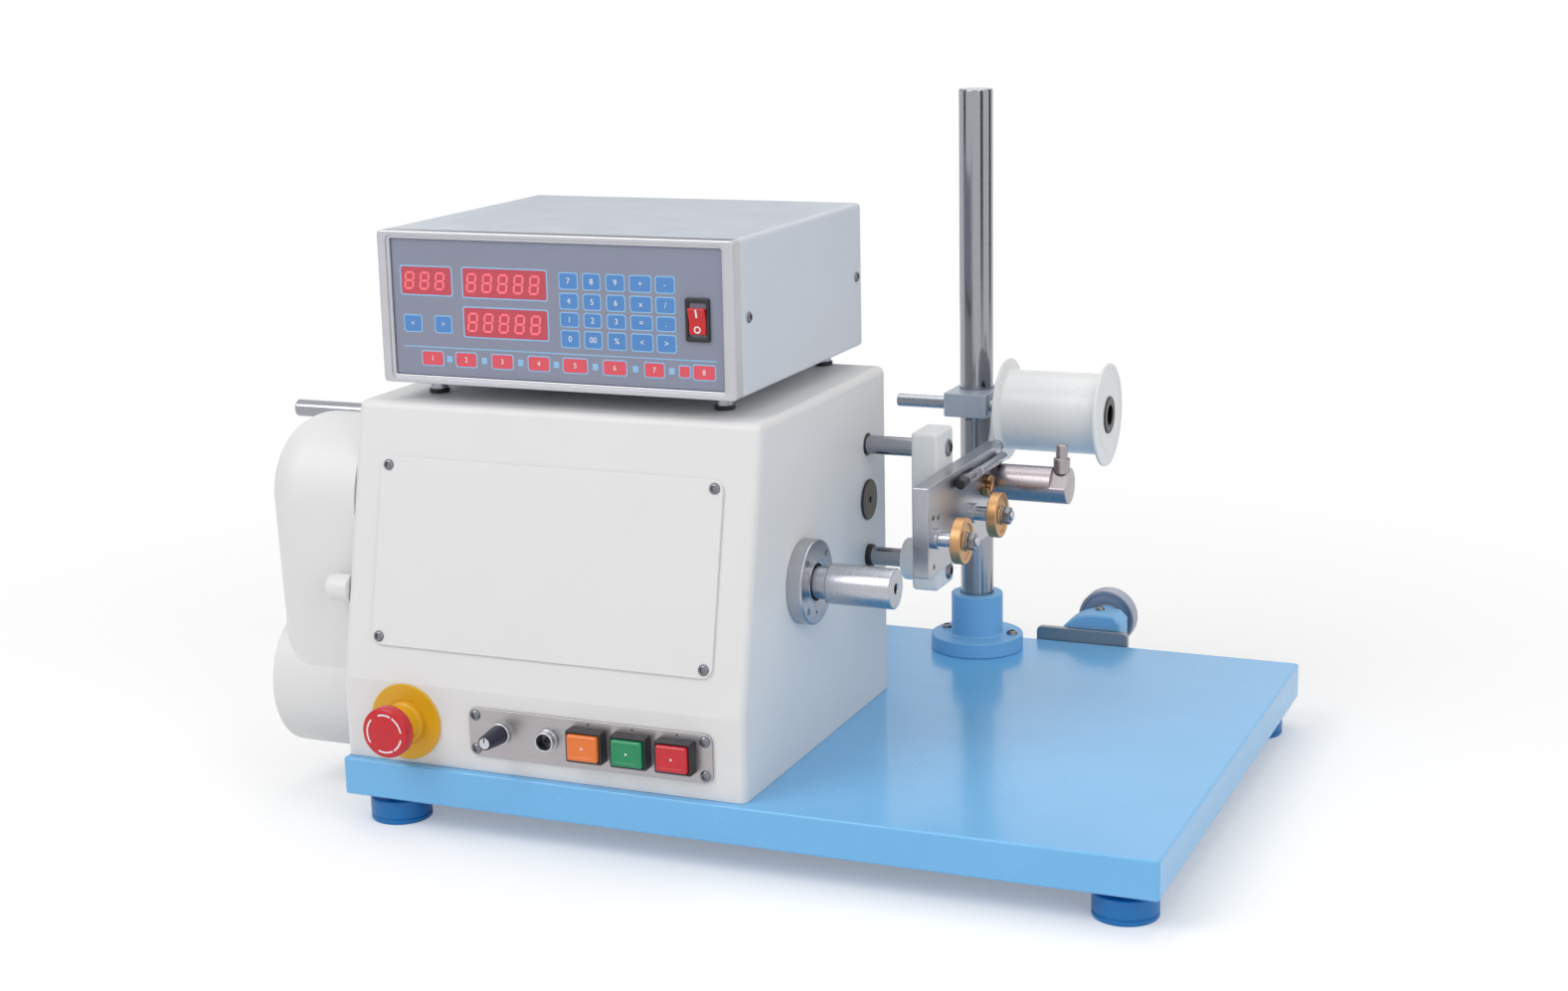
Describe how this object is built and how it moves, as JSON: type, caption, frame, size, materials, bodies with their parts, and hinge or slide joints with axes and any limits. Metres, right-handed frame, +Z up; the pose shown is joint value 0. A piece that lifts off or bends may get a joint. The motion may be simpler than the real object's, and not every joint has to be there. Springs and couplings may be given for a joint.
{
  "type": "wire coil winding machine",
  "caption": "Bench-top machine that winds wire into coils: a driven spindle, a wire guide head on sliding rods, a control box, and a post that carries the wire spool.",
  "frame": {"origin": "centre of the footprint of the whole machine at the height of the surface that its feet stand on", "axes": "+X to the right along the spindle, +Y to the back, +Z up"},
  "size_m": [0.8504, 0.5784, 0.5438],
  "materials": {
    "base_paint": "satin blue enamel",
    "foot": "deep blue, matt",
    "cast_blue": "satin blue paint on a casting",
    "cream_paint": "fine textured grey white powder coat",
    "panel_foil": "printed keypad foil, matt",
    "bright_aluminium": "satin anodised",
    "switch_steel": "brushed, grey brown",
    "ground_steel": "ground and polished",
    "gear_steel": "machined, oiled",
    "black_plastic": "moulded, satin",
    "socket_metal": "plated",
    "estop_yellow": "moulded, satin",
    "estop_red": "moulded, glossy",
    "orange_cap": "translucent cap",
    "green_cap": "translucent cap",
    "red_cap": "translucent cap",
    "motor_black": "satin black",
    "belt_rubber": "matt black",
    "yellow_brass": "turned",
    "white_nylon": "machined, satin",
    "clamp_paint": "satin grey",
    "bush_dark": "dark, satin",
    "wheel_grey": "turned, satin"
  },
  "bodies": {
    "frame": {"base_plate": "base_paint", "front_left_foot": "foot", "rear_left_foot": "foot", "front_right_foot": "foot", "rear_right_foot": "foot", "housing": "cream_paint", "front_cover": "cream_paint", "switch_plate": "switch_steel", "pedal_socket": "socket_metal", "forward_button_bezel": "black_plastic", "start_button_bezel": "black_plastic", "stop_button_bezel": "black_plastic", "estop_base": "estop_yellow", "control_box": "cream_paint", "control_box_frame": "bright_aluminium", "control_panel": "panel_foil", "power_switch_bezel": "black_plastic", "spindle_housing": "ground_steel", "front_bearing": "ground_steel", "rear_bearing": "ground_steel", "drive_plate": "bright_aluminium", "drive_motor": "motor_black", "drive_belt": "belt_rubber", "belt_guard": "cream_paint", "upper_rod_bush": "ground_steel", "lower_rod_bush": "ground_steel", "leadscrew_cap": "bright_aluminium", "traverse_motor": "motor_black", "post_flange": "cast_blue", "post": "ground_steel", "rear_bracket": "bright_aluminium", "rear_arm": "cast_blue"},
    "spindle": {"spindle_shaft": "ground_steel", "spindle_nose": "ground_steel", "spindle_gear": "gear_steel"},
    "layshaft": {"layshaft": "gear_steel", "layshaft_pulley": "gear_steel"},
    "motor_drive": {"motor_pulley": "gear_steel"},
    "leadscrew": {"leadscrew": "ground_steel"},
    "traverse": {"traverse_nut": "yellow_brass", "upper_rod": "ground_steel", "lower_rod": "ground_steel", "guide_block": "white_nylon", "guide_plate": "bright_aluminium", "wire_eye": "yellow_brass", "wire_lever": "ground_steel", "guide_bar": "ground_steel"},
    "front_roller": {"front_roller": "yellow_brass"},
    "rear_roller": {"rear_roller": "yellow_brass"},
    "clamp": {"clamp_block": "clamp_paint"},
    "spool_rod": {"spool_rod": "ground_steel"},
    "spool": {"spool": "white_nylon", "spool_bush": "bush_dark"},
    "estop_head": {"estop_head": "estop_red"},
    "forward_button": {"forward_button": "orange_cap"},
    "start_button": {"start_button": "green_cap"},
    "stop_button": {"stop_button": "red_cap"},
    "speed_knob": {"speed_knob": "black_plastic"},
    "power_rocker": {"power_rocker": "estop_red"},
    "rear_wheel": {"rear_wheel": "wheel_grey"}
  },
  "joints": [
    {"name": "spindle_spin", "type": "hinge", "parent": "frame", "child": "spindle", "pos_m": [0.1908, -0.13775, 0.1944], "axis": [1, 0, 0], "continuous": true},
    {"name": "layshaft_spin", "type": "hinge", "parent": "frame", "child": "layshaft", "pos_m": [-0.2248, -0.16295, 0.2463], "axis": [1, 0, 0], "continuous": true},
    {"name": "motor_spin", "type": "hinge", "parent": "frame", "child": "motor_drive", "pos_m": [-0.2248, -0.16295, 0.0901], "axis": [1, 0, 0], "continuous": true},
    {"name": "traverse_slide", "type": "slide", "parent": "frame", "child": "traverse", "axis": [1, 0, 0], "range_m": [-0.025, 0.195]},
    {"name": "leadscrew_spin", "type": "hinge", "parent": "frame", "child": "leadscrew", "pos_m": [-0.2248, 0.00405, 0.2264], "axis": [1, 0, 0], "range_deg": [-480, 3540]},
    {"name": "front_roller_spin", "type": "hinge", "parent": "traverse", "child": "front_roller", "pos_m": [0.1947, -0.06055, 0.2151], "axis": [1, 0, 0], "continuous": true},
    {"name": "rear_roller_spin", "type": "hinge", "parent": "traverse", "child": "rear_roller", "pos_m": [0.1947, 0.02935, 0.2151], "axis": [1, 0, 0], "continuous": true},
    {"name": "clamp_slide", "type": "slide", "parent": "frame", "child": "clamp", "axis": [0, 0, 1], "range_m": [-0.15, 0.24]},
    {"name": "spool_rod_slide", "type": "slide", "parent": "clamp", "child": "spool_rod", "axis": [1, 0, 0], "range_m": [-0.005, 0.04]},
    {"name": "spool_spin", "type": "hinge", "parent": "spool_rod", "child": "spool", "pos_m": [0.1828, 0.16105, 0.2752], "axis": [1, 0, 0], "continuous": true},
    {"name": "estop_press", "type": "slide", "parent": "frame", "child": "estop_head", "axis": [0, 1, 0], "range_m": [0, 0.006]},
    {"name": "forward_button_press", "type": "slide", "parent": "frame", "child": "forward_button", "axis": [0, 1, 0], "range_m": [0, 0.003], "stiffness_N_per_m": 600, "springref_m": -0.001},
    {"name": "start_button_press", "type": "slide", "parent": "frame", "child": "start_button", "axis": [0, 1, 0], "range_m": [0, 0.003], "stiffness_N_per_m": 600, "springref_m": -0.001},
    {"name": "stop_button_press", "type": "slide", "parent": "frame", "child": "stop_button", "axis": [0, 1, 0], "range_m": [0, 0.003], "stiffness_N_per_m": 600, "springref_m": -0.001},
    {"name": "speed_knob_turn", "type": "hinge", "parent": "frame", "child": "speed_knob", "pos_m": [-0.0853, -0.25755, 0.088], "axis": [0, 1, 0], "range_deg": [-140, 140]},
    {"name": "power_rocker_tip", "type": "hinge", "parent": "frame", "child": "power_rocker", "pos_m": [0.0632, -0.19675, 0.402], "axis": [-1, 0, 0], "range_deg": [0, 16]},
    {"name": "rear_wheel_spin", "type": "hinge", "parent": "frame", "child": "rear_wheel", "pos_m": [0.2418, 0.27095, 0.0652], "axis": [0, 1, 0], "continuous": true}
  ],
  "couplings": [
    {"joint": "spindle_spin", "follows": "layshaft_spin", "ratio": -0.5},
    {"joint": "motor_spin", "follows": "layshaft_spin", "ratio": 2.2},
    {"joint": "leadscrew_spin", "follows": "traverse_slide", "rad_per_m": 314.16}
  ]
}
